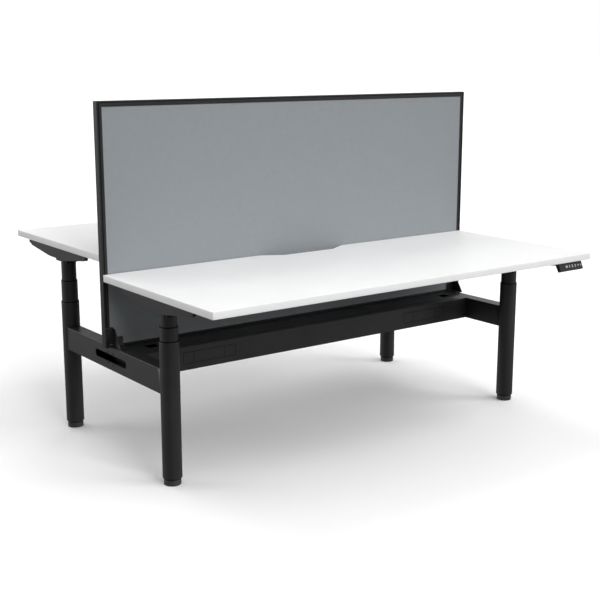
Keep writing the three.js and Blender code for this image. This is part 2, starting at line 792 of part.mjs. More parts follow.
// Column with its foot, its two moving tubes, and the drive and side arm on its head
function column(desk, side) {
  const place = `${desk}_${side}`;
  const group = new THREE.Group();
  group.position.set(columnX[side], columnY[desk], 0);
  group.add(
    piece(`outer_tube_${place}`, outerTube(), PAINT),
    piece(`base_screw_${place}`, baseScrew(), STEEL),
    piece(`foot_${place}`, levellingFoot(), PLASTIC),
  );
  const mid = piece(`mid_tube_${place}`, midTube(), PAINT);
  mid.position.z = lift[desk] / 2;
  const head = new THREE.Group();
  head.position.z = lift[desk];
  head.rotation.z = side === 'right' ? Math.PI : 0;
  head.add(
    piece(`inner_tube_${place}`, innerTube(), PAINT),
    piece(`drive_unit_${place}`, driveUnit(), PLASTIC),
    piece(`side_arm_${place}`, sideArm(), PAINT),
  );
  group.add(mid, head);
  return group;
}

// Worktop with what is fixed under it. The rear desk is the front one turned about the bench's middle.
function deskTop(desk) {
  const raisedGroup = new THREE.Group();
  raisedGroup.position.z = lift[desk];
  raisedGroup.add(piece(`crossbar_${desk}`, crossbar(desk), PAINT));
  const facing = new THREE.Group();
  facing.rotation.z = desk === 'rear' ? Math.PI : 0;
  facing.add(
    piece(`worktop_${desk}`, worktop(), LAMINATE),
    piece(`control_box_${desk}`, controlBox(), PLASTIC),
    piece(`handset_${desk}`, handset(), PLASTIC),
  );
  KEY_NAMES.forEach((name, index) => {
    facing.add(piece(`key_${name}_${desk}`, handsetKey(index), KEYCAP));
  });
  raisedGroup.add(facing);
  return raisedGroup;
}

const bench = new THREE.Group();
bench.name = 'benching_desk_for_two';

for (const desk of ['front', 'rear']) {
  bench.add(column(desk, 'left'), column(desk, 'right'), deskTop(desk));
  bench.add(piece(`duct_lid_${desk}`, ductLid(desk), PAINT));
}

for (const side of ['left', 'right']) {
  bench.add(
    piece(`end_beam_${side}`, endBeam(side), PAINT),
    piece(`screen_post_${side}`, screenPost(side), PAINT),
    piece(`screen_bracket_${side}`, screenBracket(side), PAINT),
  );
}

bench.add(
  piece('cable_duct', cableDuct(), PAINT),
  piece('screen_top_rail', screenTopRail(), PAINT),
  piece('screen_bottom_rail', screenBottomRail(), PAINT),
  piece('screen_panel', screenPanel(), FABRIC),
);

export default bench;
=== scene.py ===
import json
import math

import bmesh
import bpy
import numpy as np
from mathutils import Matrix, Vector


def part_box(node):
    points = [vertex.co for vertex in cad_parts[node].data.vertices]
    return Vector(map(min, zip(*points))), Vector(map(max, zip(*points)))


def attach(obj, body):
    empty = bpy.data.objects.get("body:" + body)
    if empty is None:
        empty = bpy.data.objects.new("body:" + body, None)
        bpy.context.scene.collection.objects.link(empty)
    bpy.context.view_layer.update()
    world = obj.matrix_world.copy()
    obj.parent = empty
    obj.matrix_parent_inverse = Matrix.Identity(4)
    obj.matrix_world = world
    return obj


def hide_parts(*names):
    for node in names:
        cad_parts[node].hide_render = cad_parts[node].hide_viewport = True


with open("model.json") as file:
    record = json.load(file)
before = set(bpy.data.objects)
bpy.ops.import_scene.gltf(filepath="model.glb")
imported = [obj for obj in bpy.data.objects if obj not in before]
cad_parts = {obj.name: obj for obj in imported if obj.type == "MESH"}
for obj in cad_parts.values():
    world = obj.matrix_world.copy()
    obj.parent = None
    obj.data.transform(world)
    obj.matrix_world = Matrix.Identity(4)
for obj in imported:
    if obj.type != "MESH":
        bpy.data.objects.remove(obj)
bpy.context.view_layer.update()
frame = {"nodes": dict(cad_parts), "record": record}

MM = 0.001
DESKS = ("front", "rear")
SIDES = ("left", "right")
PLACES = [(desk, side) for desk in DESKS for side in SIDES]
KEYS = ("memory", "one", "two", "three", "down", "up")
SHARP = math.radians(38)
BEVEL_FROM = math.radians(30)
FLAT_WITHIN = math.radians(1)
MERGE, MERGE_CAD, NO_LENGTH = 1e-6, 2e-6, 1e-7
TURNED_ROUND, TURNED_STAY = 0.6 * MM, 1.5 * MM
SCREW_SUNK = 0.3 * MM


# Forms: arrays of points first, then one mesh for each piece

def grid_faces(rows, columns, wrap_rows, wrap_columns):
    """Quads of a grid of points: each joins a point, its neighbour along the row, and the two in the
    next row. A wrapped direction also joins the last line of points to the first."""
    i = np.arange(rows if wrap_rows else rows - 1)
    j = np.arange(columns if wrap_columns else columns - 1)
    i, j = (a.ravel() for a in np.meshgrid(i, j, indexing="ij"))
    i2, j2 = (i + 1) % rows, (j + 1) % columns
    return np.stack([i * columns + j, i * columns + j2, i2 * columns + j2, i2 * columns + j], axis=1)


def shade(mesh):
    """Smooth shading, broken at every edge sharper than SHARP."""
    mesh.polygons.foreach_set("use_smooth", np.ones(len(mesh.polygons), dtype=bool))
    mesh.set_sharp_from_angle(angle=SHARP)


def piece(name, parts, material, body, replaces=()):
    """One mesh object from parts, each a pair of points and faces. Doubles are merged and faces turned
    outwards."""
    points, faces, count = [], [], 0
    for p, f in parts:
        p = np.asarray(p, float).reshape(-1, 3)
        points.append(p)
        faces += [[int(v) + count for v in face] for face in f]
        count += len(p)
    mesh = bpy.data.meshes.new(name)
    mesh.from_pydata(np.concatenate(points).tolist(), [], faces)
    work = bmesh.new()
    work.from_mesh(mesh)
    bmesh.ops.remove_doubles(work, verts=work.verts, dist=MERGE)
    bmesh.ops.dissolve_degenerate(work, edges=work.edges, dist=NO_LENGTH)
    bmesh.ops.recalc_face_normals(work, faces=work.faces)
    work.to_mesh(mesh)
    work.free()
    shade(mesh)
    obj = bpy.data.objects.new(name, mesh)
    bpy.context.scene.collection.objects.link(obj)
    mesh.materials.append(material)
    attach(obj, body)
    if replaces:
        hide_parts(*replaces)
    return obj


def rounded_loop(corners, radius, steps=4):
    """Closed outline in a plane: each corner becomes an arc that touches both of its sides. An arc point
    is the centre plus a blend of the two spokes, weighted as on a circle."""
    p = np.asarray(corners, float)
    to_last, to_next = np.roll(p, 1, 0) - p, np.roll(p, -1, 0) - p
    len_last = np.linalg.norm(to_last, axis=1)
    len_next = np.linalg.norm(to_next, axis=1)
    a, b = to_last / len_last[:, None], to_next / len_next[:, None]
    half = np.arccos(np.clip((a * b).sum(1), -1, 1)) / 2
    most = 0.48 * np.minimum(len_last, len_next)
    reach = np.minimum(np.broadcast_to(radius, half.shape) / np.tan(half), most)
    r = reach * np.tan(half)
    middle = a + b
    middle /= np.maximum(np.linalg.norm(middle, axis=1), 1e-12)[:, None]
    centre = p + middle * (r / np.sin(half))[:, None]
    spoke_a, spoke_b = p + a * reach[:, None] - centre, p + b * reach[:, None] - centre
    turn = np.maximum(math.pi - 2 * half, 1e-6)[:, None, None]
    s = np.linspace(0, 1, steps + 1)[None, :, None]
    arc = (np.sin((1 - s) * turn) * spoke_a[:, None] + np.sin(s * turn) * spoke_b[:, None]) / np.sin(turn)
    return (centre[:, None] + arc).reshape(-1, 2)


def with_stays(loop, stay):
    """The outline with two more points on each long side, a little way in from its ends, so that shading
    stays flat between them."""
    p = np.asarray(loop, float)
    q = np.roll(p, -1, 0)
    length = np.linalg.norm(q - p, axis=1)
    way = (q - p) / np.maximum(length, 1e-12)[:, None]
    three = np.stack([p, p + way * stay, q - way * stay], axis=1)
    keep = np.stack([np.ones_like(length, bool), length > 4 * stay, length > 4 * stay], axis=1)
    return three[keep]


def turned(profile, centre, sides=96):
    """Surface of revolution about a vertical axis: the points of a closed profile, each a radius and a
    height, at each angle. The profile's corners are rounded first."""
    loop = with_stays(rounded_loop(profile, TURNED_ROUND, 3), TURNED_STAY)
    angle = np.arange(sides) * 2 * math.pi / sides
    r, z = loop[:, 0][:, None], loop[:, 1][:, None]
    points = np.stack([
        centre[0] + r * np.cos(angle),
        centre[1] + r * np.sin(angle),
        np.broadcast_to(z, (len(loop), sides)),
    ], axis=-1)
    return points, grid_faces(len(loop), sides, True, True)


def inward(loop):
    """Mitred inward direction at each point of a closed outline that runs anticlockwise."""
    p = np.asarray(loop, float)
    e = np.roll(p, -1, 0) - p
    e /= np.linalg.norm(e, axis=1)[:, None]
    n = np.stack([-e[:, 1], e[:, 0]], axis=1)
    m = n + np.roll(n, 1, 0)
    return m * (2 / (m * m).sum(1))[:, None]


def slab(loop, low, high, radius, steps=4):
    """Plate with rounded edges: rings of the outline, moved inwards and up as a quarter circle at the
    lower and the upper edge, closed by a flat face at both ends."""
    loop = np.asarray(loop, float)
    q = np.linspace(0, math.pi / 2, steps + 1)
    inset = radius * (1 - np.sin(q))
    drop = radius * (1 - np.cos(q))
    stay = 2.4 * radius
    insets = np.concatenate([[stay], inset, inset[::-1], [stay]])
    heights = np.concatenate([[low], low + drop, high - drop[::-1], [high]])
    direction = inward(loop)
    rings = loop[None] + insets[:, None, None] * direction[None]
    z = np.broadcast_to(heights[:, None, None], (*rings.shape[:2], 1))
    points = np.concatenate([rings, z], axis=-1)
    rows, columns = rings.shape[:2]
    faces = grid_faces(rows, columns, False, True).tolist()
    faces.append(list(range(columns))[::-1])
    faces.append(list(range((rows - 1) * columns, rows * columns)))
    return points, faces


def carried(start, end):
    """Bar: the points of a section, as they lie at the start and at the end, joined by straight lines,
    with a flat face at both ends."""
    rows = np.stack([start, end])
    columns = len(start)
    faces = grid_faces(2, columns, False, True).tolist()
    faces.append(list(range(columns)))
    faces.append(list(range(columns, 2 * columns)))
    return rows, faces


def basis(axis):
    """Two directions square to an axis, and the axis itself, as rows."""
    n = np.asarray(axis, float) / np.linalg.norm(axis)
    u = np.cross([0, 0, 1], n)
    u = np.array([1.0, 0, 0]) if np.linalg.norm(u) < 1e-6 else u / np.linalg.norm(u)
    return np.stack([u, np.cross(n, u), n])


def on_face(part, origin, u, v):
    """A part drawn flat, in two directions and a height, laid on a face: each point is the origin plus its
    two numbers along the face's directions u and v, and its height along their cross product."""
    points, faces = part
    axes = np.stack([u, v, np.cross(u, v)]).astype(float)
    return np.asarray(points).reshape(-1, 3) @ axes + np.asarray(origin, float), faces


def screw_head(place, axis, size, sides=20):
    """Button head on a face: a low dome of revolution with a straight-walled socket in its middle."""
    q = np.linspace(0, 1, 5)
    dome_r = size * (0.45 + 0.55 * q)
    dome_h = size * 0.5 * (1 - q ** 2) ** 0.5
    r = np.concatenate([[0, 0.42 * size], dome_r, [size, 0]])
    h = np.concatenate([[0.12 * size, 0.12 * size], dome_h, [-SCREW_SUNK, -SCREW_SUNK]])
    angle = np.arange(sides) * 2 * math.pi / sides
    local = np.stack([
        r[:, None] * np.cos(angle),
        r[:, None] * np.sin(angle),
        np.broadcast_to(h[:, None], (len(r), sides)),
    ], axis=-1)
    return np.asarray(place) + local @ basis(axis), grid_faces(len(r), sides, False, True)


def eased(solid, width, picked=None, segments=3):
    """The CAD piece with its edges rounded off by a bevel. Where picked is given, it picks the edges from
    arrays of both end points; otherwise every edge sharper than BEVEL_FROM is rounded."""
    mesh = frame["nodes"][solid].data.copy()
    mesh.name = f"{solid}_eased"
    work = bmesh.new()
    work.from_mesh(mesh)
    bmesh.ops.remove_doubles(work, verts=work.verts, dist=MERGE_CAD)
    bmesh.ops.dissolve_limit(work, angle_limit=FLAT_WITHIN, verts=work.verts, edges=work.edges)
    work.to_mesh(mesh)
    work.free()
    shade(mesh)
    obj = bpy.data.objects.new(f"{solid}_eased", mesh)
    bpy.context.scene.collection.objects.link(obj)
    bevel = obj.modifiers.new("eased_edges", "BEVEL")
    bevel.width = width
    bevel.segments = segments
    bevel.use_clamp_overlap = False
    bevel.harden_normals = True
    bevel.limit_method = "ANGLE"
    bevel.angle_limit = BEVEL_FROM
    if picked is not None:
        points = np.empty(len(mesh.vertices) * 3)
        mesh.vertices.foreach_get("co", points)
        ends = np.empty(len(mesh.edges) * 2, dtype=int)
        mesh.edges.foreach_get("vertices", ends)
        pairs = points.reshape(-1, 3)[ends.reshape(-1, 2)]
        weight = mesh.attributes.new("bevel_weight_edge", "FLOAT", "EDGE")
        weight.data.foreach_set("value", picked(pairs[:, 0], pairs[:, 1]).astype(float))
        bevel.limit_method = "WEIGHT"
    body = next(b for b, nodes in frame["record"]["behaviour"]["bodies"].items() if solid in nodes)
    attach(obj, body)
    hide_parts(solid)
    return obj


def long_edges(axis, length):
    """Function that picks edges along one axis that are longer than the given length."""
    def pick(a, b):
        """True for each picked edge, from both of its ends."""
        way = np.abs(b - a)
        return (way[:, axis] > length) & (way.sum(1) - way[:, axis] < 1e-5)
    return pick


# Materials

def group(name, sockets, build):
    """Shader node group with named inputs and outputs, filled in by build."""
    tree = bpy.data.node_groups.new(name, "ShaderNodeTree")
    for label, way, kind, value in sockets:
        socket = tree.interface.new_socket(label, in_out=way, socket_type=kind)
        if value is not None:
            socket.default_value = value
    build(tree, tree.nodes.new("NodeGroupInput"), tree.nodes.new("NodeGroupOutput"))
    return tree


def node(tree, kind, inputs=(), **settings):
    """A node with its settings, its inputs set to numbers or linked to sockets."""
    made = tree.nodes.new(kind)
    for key, value in settings.items():
        setattr(made, key, value)
    for key, value in dict(inputs).items():
        if isinstance(value, bpy.types.NodeSocket):
            tree.links.new(value, made.inputs[key])
        else:
            made.inputs[key].default_value = value
    return made


def maths(tree, operation, a, b=0.0):
    """The result of a Math node on two numbers or sockets."""
    return node(tree, "ShaderNodeMath", {0: a, 1: b}, operation=operation).outputs[0]


def fill_grain(tree, given, out):
    """Fine orange-peel of a sprayed or moulded skin: two noises, one coarse and one four times finer, added
    with unequal weight for the height; a slow noise gives the mottle."""
    place = node(tree, "ShaderNodeTexCoord").outputs["Object"]
    rate = given.outputs["Grains per metre"]
    coarse = node(tree, "ShaderNodeTexNoise", {"Vector": place, "Scale": rate, "Detail": 3.0})
    finer = maths(tree, "MULTIPLY", rate, 4.0)
    fine = node(tree, "ShaderNodeTexNoise", {"Vector": place, "Scale": finer, "Detail": 2.0})
    slow = node(tree, "ShaderNodeTexNoise", {"Vector": place, "Scale": 9.0, "Detail": 4.0})
    height = maths(tree, "ADD", coarse.outputs["Fac"], maths(tree, "MULTIPLY", fine.outputs["Fac"], 0.5))
    tree.links.new(height, out.inputs["Height"])
    tree.links.new(slow.outputs["Fac"], out.inputs["Mottle"])


def fill_weave(tree, given, out):
    """Plain weave in X and Z: a thread's crown is the cosine across it, and warp and weft take turns on
    top as the product of two half-rate cosines changes sign; noise along the threads gives the slubs."""
    place = node(tree, "ShaderNodeTexCoord").outputs["Object"]
    split = node(tree, "ShaderNodeSeparateXYZ", {0: place})
    rate = given.outputs["Threads per metre"]
    turn = maths(tree, "MULTIPLY", rate, 2 * math.pi)
    across = maths(tree, "MULTIPLY", split.outputs["X"], turn)
    up = maths(tree, "MULTIPLY", split.outputs["Z"], turn)
    warp = maths(tree, "ADD", maths(tree, "MULTIPLY", maths(tree, "COSINE", across), 0.5), 0.5)
    weft = maths(tree, "ADD", maths(tree, "MULTIPLY", maths(tree, "COSINE", up), 0.5), 0.5)
    half_across = maths(tree, "COSINE", maths(tree, "MULTIPLY", across, 0.5))
    half_up = maths(tree, "COSINE", maths(tree, "MULTIPLY", up, 0.5))
    over = maths(tree, "GREATER_THAN", maths(tree, "MULTIPLY", half_across, half_up), 0.0)
    height = node(tree, "ShaderNodeMix", {0: over, 2: weft, 3: warp}, data_type="FLOAT").outputs[0]
    stretch_x = node(tree, "ShaderNodeMapping", {"Vector": place, "Scale": (40.0, 40.0, 900.0)})
    stretch_z = node(tree, "ShaderNodeMapping", {"Vector": place, "Scale": (900.0, 40.0, 40.0)})
    slub_x = node(tree, "ShaderNodeTexNoise", {"Vector": stretch_x.outputs[0], "Scale": 1.0, "Detail": 2.0})
    slub_z = node(tree, "ShaderNodeTexNoise", {"Vector": stretch_z.outputs[0], "Scale": 1.0, "Detail": 2.0})
    slubs = {0: over, 2: slub_x.outputs["Fac"], 3: slub_z.outputs["Fac"]}
    slub = node(tree, "ShaderNodeMix", slubs, data_type="FLOAT")
    tree.links.new(height, out.inputs["Height"])
    tree.links.new(slub.outputs[0], out.inputs["Slub"])


GRAIN = group("skin_grain", [
    ("Grains per metre", "INPUT", "NodeSocketFloat", 900.0),
    ("Height", "OUTPUT", "NodeSocketFloat", None),
    ("Mottle", "OUTPUT", "NodeSocketFloat", None),
], fill_grain)
WEAVE = group("plain_weave", [
    ("Threads per metre", "INPUT", "NodeSocketFloat", 700.0),
    ("Height", "OUTPUT", "NodeSocketFloat", None),
    ("Slub", "OUTPUT", "NodeSocketFloat", None),
], fill_weave)


def ramp(tree, value, low, high):
    """Colour that runs from low to high as the value runs from 0.3 to 0.7."""
    made = node(tree, "ShaderNodeValToRGB", {0: value})
    for stop, at, colour in zip(made.color_ramp.elements, (0.3, 0.7), (low, high)):
        stop.position = at
        stop.color = (*colour, 1.0)
    return made.outputs["Color"]


def spread(tree, value, low, high):
    """Number that runs from low to high as the value runs from 0.3 to 0.7."""
    return node(tree, "ShaderNodeMapRange", {0: value, 1: 0.3, 2: 0.7, 3: low, 4: high}).outputs[0]


CLOTH_DARK, CLOTH_LIGHT = (0.2197, 0.2394, 0.255), (0.3165, 0.3362, 0.3519)


def skin(name, low, high, rough, grains, bump, metallic=0.0, specular=0.5):
    """Sprayed, moulded or plated finish: colour and roughness follow the slow mottle, and the grain is a
    bump."""
    material = bpy.data.materials.new(name)
    material.use_nodes = True
    tree = material.node_tree
    shader = tree.nodes["Principled BSDF"]
    grain = node(tree, "ShaderNodeGroup", node_tree=GRAIN)
    grain.inputs["Grains per metre"].default_value = grains
    tree.links.new(ramp(tree, grain.outputs["Mottle"], low, high), shader.inputs["Base Color"])
    tree.links.new(spread(tree, grain.outputs["Mottle"], *rough), shader.inputs["Roughness"])
    relief = node(tree, "ShaderNodeBump", {
        "Strength": bump, "Distance": 0.2 * MM, "Height": grain.outputs["Height"],
    })
    tree.links.new(relief.outputs[0], shader.inputs["Normal"])
    shader.inputs["Metallic"].default_value = metallic
    shader.inputs["Specular IOR Level"].default_value = specular
    return material


def screen_cloth():
    """Flat woven cloth: thread crowns a little lighter than the gaps, as painted shade in the gaps between
    threads; slubs a little darker or lighter.
    """
    material = bpy.data.materials.new("screen_cloth")
    material.use_nodes = True
    tree = material.node_tree
    shader = tree.nodes["Principled BSDF"]
    weave = node(tree, "ShaderNodeGroup", node_tree=WEAVE)
    weave.inputs["Threads per metre"].default_value = 720.0
    height, slub = weave.outputs["Height"], weave.outputs["Slub"]
    # Colour from the weave's height is painted shade between the threads; the slub part is the yarn's own
    # uneven tone.
    gap_shade_and_slub = maths(tree, "ADD", maths(tree, "MULTIPLY", height, 0.45), maths(tree, "MULTIPLY", slub, 0.6))
    tree.links.new(ramp(tree, gap_shade_and_slub, CLOTH_DARK, CLOTH_LIGHT), shader.inputs["Base Color"])
    relief = node(tree, "ShaderNodeBump", {"Strength": 0.5, "Distance": 0.4 * MM, "Height": height})
    tree.links.new(relief.outputs[0], shader.inputs["Normal"])
    shader.inputs["Roughness"].default_value = 0.95
    shader.inputs["Specular IOR Level"].default_value = 0.2
    shader.inputs["Sheen Weight"].default_value = 0.1
    return material


POWDER = skin("powder_coat", (0.0115, 0.0115, 0.0118), (0.015, 0.015, 0.0153), (0.36, 0.46), 1400.0, 0.2)
FRAME_BLACK = skin("black_frame", (0.009, 0.009, 0.0092), (0.012, 0.012, 0.0122), (0.42, 0.52), 1400.0, 0.15,
                   specular=0.32)
LAMINATE = skin("white_laminate", (0.868, 0.868, 0.868), (0.884, 0.884, 0.884), (0.38, 0.46), 2600.0, 0.05,
                specular=0.35)
BLACK_PLASTIC = skin("grained_plastic", (0.010, 0.010, 0.0105), (0.014, 0.014, 0.0145), (0.45, 0.55), 2200.0,
                     0.3, specular=0.4)
FOOT_PLASTIC = skin("foot_plastic", (0.030, 0.030, 0.031), (0.038, 0.038, 0.039), (0.4, 0.5), 1800.0, 0.2)
# Glide bushes: the plastic's own black, made darker and duller still as painted shade on the ring's top
# face.
GLIDE_BLACK_AND_SHADE = skin("glide_bush_and_shade", (0.0012, 0.0012, 0.0012), (0.002, 0.002, 0.002), (0.6, 0.7), 2200.0, 0.1,
                   specular=0.08)
KEY_PLASTIC = skin("key_plastic", (0.028, 0.028, 0.029), (0.034, 0.034, 0.035), (0.4, 0.5), 3000.0, 0.1)
MOTOR_BLACK = skin("motor_paint", (0.003, 0.003, 0.003), (0.005, 0.005, 0.005), (0.5, 0.6), 700.0, 0.1,
                   specular=0.2)
BRIGHT_STEEL = skin("zinc_steel", (0.45, 0.46, 0.47), (0.55, 0.56, 0.57), (0.25, 0.4), 1200.0, 0.1,
                    metallic=1.0)
# The screws' own black; the same near-black also paints the shade in the duct's knock-out score lines.
BOLT_AND_SCORE_SHADE_BLACK = skin("blackened_bolt_and_score_shade", (0.002, 0.002, 0.002), (0.004, 0.004, 0.004), (0.4, 0.5), 2500.0, 0.1,
                  specular=0.15)
LEGEND_WHITE = skin("legend_print", (0.5, 0.5, 0.5), (0.56, 0.56, 0.56), (0.5, 0.6), 2500.0, 0.05)
HANDSET_PLASTIC = skin("handset_plastic", (0.014, 0.014, 0.0145), (0.017, 0.017, 0.0175), (0.5, 0.6), 2600.0,
                       0.2, specular=0.25)
CLOTH = screen_cloth()

NODE_LOOKS = {
    "black_paint": POWDER,
    "white_laminate": LAMINATE,
    "grey_fabric": CLOTH,
    "bright_steel": BRIGHT_STEEL,
    "motor_black": MOTOR_BLACK,
    "black_plastic": BLACK_PLASTIC,
    "key_plastic": KEY_PLASTIC,
}
for entry in frame["record"]["subparts"]:
    target = frame["nodes"][entry["node"]].data
    target.materials.clear()
    target.materials.append(NODE_LOOKS[entry["material_slot"]])


# Columns

TUBE_WALL = 2 * MM
RING_HEIGHT = 3.2 * MM
RING_STEP = 0.2 * MM
RING_PLAY = 0.3 * MM
PAD_TOP = 21 * MM
PAD_BREAK = 1.5 * MM
PAD_SHOULDER = 2.5 * MM
LOCK_NUT_R, LOCK_NUT_TOP = 9 * MM, 24.5 * MM
STEM_R = 5 * MM
AXIS_R = 0.2 * MM


def column_tubes(desk, side):
    """Three nested tubes of a column as turned walls. The outer and the middle tube end in a black glide
    ring that closes on the tube inside it; its near-black, almost sheenless finish is the bush's own black
    plus painted shade on its top face."""
    place = f"{desk}_{side}"
    bodies = {"outer": "base", "mid": f"middle_stage_{place}", "inner": f"{desk}_desk"}
    boxes = {stage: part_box(f"{stage}_tube_{place}") for stage in bodies}
    inside = {"outer": "mid", "mid": "inner"}
    for stage, body in bodies.items():
        low, high = boxes[stage]
        centre = ((low[0] + high[0]) / 2, (low[1] + high[1]) / 2)
        r = (high[0] - low[0]) / 2
        top = high[2] - (RING_HEIGHT if stage in inside else 0)
        wall = [(r - TUBE_WALL, low[2]), (r, low[2]), (r, top), (r - TUBE_WALL, top)]
        piece(f"{stage}_column_{place}", [turned(wall, centre)], POWDER, body,
              replaces=[f"{stage}_tube_{place}"])
        if stage in inside:
            next_low, next_high = boxes[inside[stage]]
            bore = (next_high[0] - next_low[0]) / 2 + RING_PLAY
            ring = [(bore, top), (r - RING_STEP, top), (r - RING_STEP, high[2]), (bore, high[2])]
            piece(f"{stage}_glide_ring_{place}", [turned(ring, centre)], GLIDE_BLACK_AND_SHADE, body)


def levelling_foot(desk, side):
    """Pad with a broken lower edge and a sloped shoulder, a lock nut and a stem, turned as one profile."""
    place = f"{desk}_{side}"
    low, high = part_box(f"foot_{place}")
    centre = ((low[0] + high[0]) / 2, (low[1] + high[1]) / 2)
    r = (high[0] - low[0]) / 2
    pad = [
        (AXIS_R, 0), (r - PAD_BREAK, 0), (r, PAD_BREAK), (r, PAD_TOP - PAD_BREAK),
        (r - PAD_SHOULDER, PAD_TOP), (LOCK_NUT_R, PAD_TOP), (LOCK_NUT_R, LOCK_NUT_TOP),
        (STEM_R, LOCK_NUT_TOP), (STEM_R, high[2]), (AXIS_R, high[2]),
    ]
    piece(f"level_foot_{place}", [turned(pad, centre, sides=72)], FOOT_PLASTIC, f"foot_{place}",
          replaces=[f"foot_{place}"])


for desk, side in PLACES:
    column_tubes(desk, side)
    levelling_foot(desk, side)


# Worktops

EDGE_ROUND = 0.9 * MM
CORNER_ROUND = 2.6 * MM
TOP_STAY = 4 * MM
SCALLOP = {"mouth": 207 * MM, "base": 123 * MM, "depth": 50 * MM, "round": 30 * MM}


def worktop(desk):
    """Board with slightly rounded edges. Its outline is a rectangle whose back edge dips into a scallop
    with slanted, rounded ends."""
    low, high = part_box(f"worktop_{desk}")
    x0, x1, y0, y1 = low[0], high[0], low[1], high[1]
    s = SCALLOP
    floor = y1 - s["depth"] if desk == "front" else y0 + s["depth"]
    if desk == "front":
        corners = [(x0, y0), (x1, y0), (x1, y1), (s["mouth"], y1), (s["base"], floor), (-s["base"], floor),
                   (-s["mouth"], y1), (x0, y1)]
        radii = [CORNER_ROUND] * 3 + [s["round"]] * 4 + [CORNER_ROUND]
    else:
        corners = [(x0, y0), (-s["mouth"], y0), (-s["base"], floor), (s["base"], floor), (s["mouth"], y0),
                   (x1, y0), (x1, y1), (x0, y1)]
        radii = [CORNER_ROUND] + [s["round"]] * 4 + [CORNER_ROUND] * 3
    loop = with_stays(rounded_loop(corners, np.array(radii), 8), TOP_STAY)
    piece(f"desk_top_{desk}", [slab(loop, low[2], high[2], EDGE_ROUND)], LAMINATE, f"{desk}_desk",
          replaces=[f"worktop_{desk}"])


for desk in DESKS:
    worktop(desk)


# Dividing screen

POST_FACE = 20 * MM
FRAME_HALF = 14 * MM
GROOVE = (5 * MM, 9 * MM, 4 * MM)
BOARD_SLOT = (12.8 * MM, 6 * MM)
SILL_SLOT_DEPTH = 4 * MM
FRAME_ROUND, FRAME_STAY = 0.7 * MM, 1.2 * MM
CLOTH_SINK, CLOTH_SWELL = 0.5 * MM, 0.4 * MM


def frame_section():
    """Section of the screen's frame: distance in from its outer face, and distance from its middle plane.
    Both faces have a shadow groove, and the inner face a slot for the board."""
    half = FRAME_HALF
    near, far, deep = GROOVE
    wide, inset = BOARD_SLOT
    side = [(0, half), (near, half), (near, half - deep), (far, half - deep), (far, half),
            (POST_FACE, half), (POST_FACE, wide), (POST_FACE - inset, wide)]
    corners = side + [(u, -v) for u, v in reversed(side)]
    return with_stays(rounded_loop(corners, FRAME_ROUND, 3), FRAME_STAY)


def screen_frame():
    """Two posts and a top rail of one section, cut at half a right angle where they meet, so that a point's
    height at the post's end falls with its distance from the outer face; and a plain bottom rail."""
    u, v = frame_section().T
    for side, sign in (("left", -1), ("right", 1)):
        low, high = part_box(f"screen_post_{side}")
        outer = low[0] if side == "left" else high[0]
        foot = np.stack([outer - sign * u, v, np.full_like(u, low[2])], axis=1)
        head = np.stack([outer - sign * u, v, high[2] - u], axis=1)
        piece(f"screen_upright_{side}", [carried(foot, head)], FRAME_BLACK, "base",
              replaces=[f"screen_post_{side}"])
    low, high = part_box("screen_top_rail")
    start = np.stack([low[0] + u, v, high[2] - u], axis=1)
    end = np.stack([high[0] - u, v, high[2] - u], axis=1)
    piece("screen_head_rail", [carried(start, end)], FRAME_BLACK, "base",
          replaces=["screen_top_rail"])
    low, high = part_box("screen_bottom_rail")
    wide, floor = BOARD_SLOT[0], high[2] - SILL_SLOT_DEPTH
    rail = with_stays(rounded_loop([
        (low[1], low[2]), (high[1], low[2]), (high[1], high[2]), (wide, high[2]), (wide, floor),
        (-wide, floor), (-wide, high[2]), (low[1], high[2]),
    ], FRAME_ROUND, 3), FRAME_STAY)
    ends = [np.insert(rail, 0, x, axis=1) for x in (low[0], high[0])]
    piece("screen_sill_rail", [carried(*ends)], FRAME_BLACK, "base",
          replaces=["screen_bottom_rail"])


def cloth_board():
    """Cloth-covered board: both faces swell by a few tenths of a millimetre from the edges inwards, as
    one minus the fourth power of the distance from the middle, in both directions."""
    low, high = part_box("screen_panel")
    s = np.linspace(-1, 1, 61)
    t = np.linspace(-1, 1, 33)
    su, tv = np.meshgrid(s, t, indexing="ij")
    x = (low[0] + high[0]) / 2 + su * (high[0] - low[0]) / 2
    z = (low[2] + high[2]) / 2 + tv * (high[2] - low[2]) / 2
    half = (high[1] - low[1]) / 2 - CLOTH_SINK
    swell = CLOTH_SWELL * (1 - su ** 4) * (1 - tv ** 4)
    front = np.stack([x, -half - swell, z], axis=-1)
    back = np.stack([x, half + swell, z], axis=-1)
    rows, columns = len(s), len(t)
    rim = np.concatenate([
        np.arange(rows) * columns,
        (rows - 1) * columns + np.arange(1, columns),
        np.arange(rows - 2, -1, -1) * columns + columns - 1,
        np.arange(columns - 2, 0, -1),
    ])
    count = rows * columns
    walls = np.stack([rim, np.roll(rim, -1), np.roll(rim, -1) + count, rim + count], axis=1)
    face = grid_faces(rows, columns, False, False)
    faces = np.concatenate([face, face + count, walls])
    points = np.concatenate([front.reshape(-1, 3), back.reshape(-1, 3)])
    piece("cloth_board", [(points, faces)], CLOTH, "base", replaces=["screen_panel"])


screen_frame()
cloth_board()


# End frames, duct and ironwork under the tops

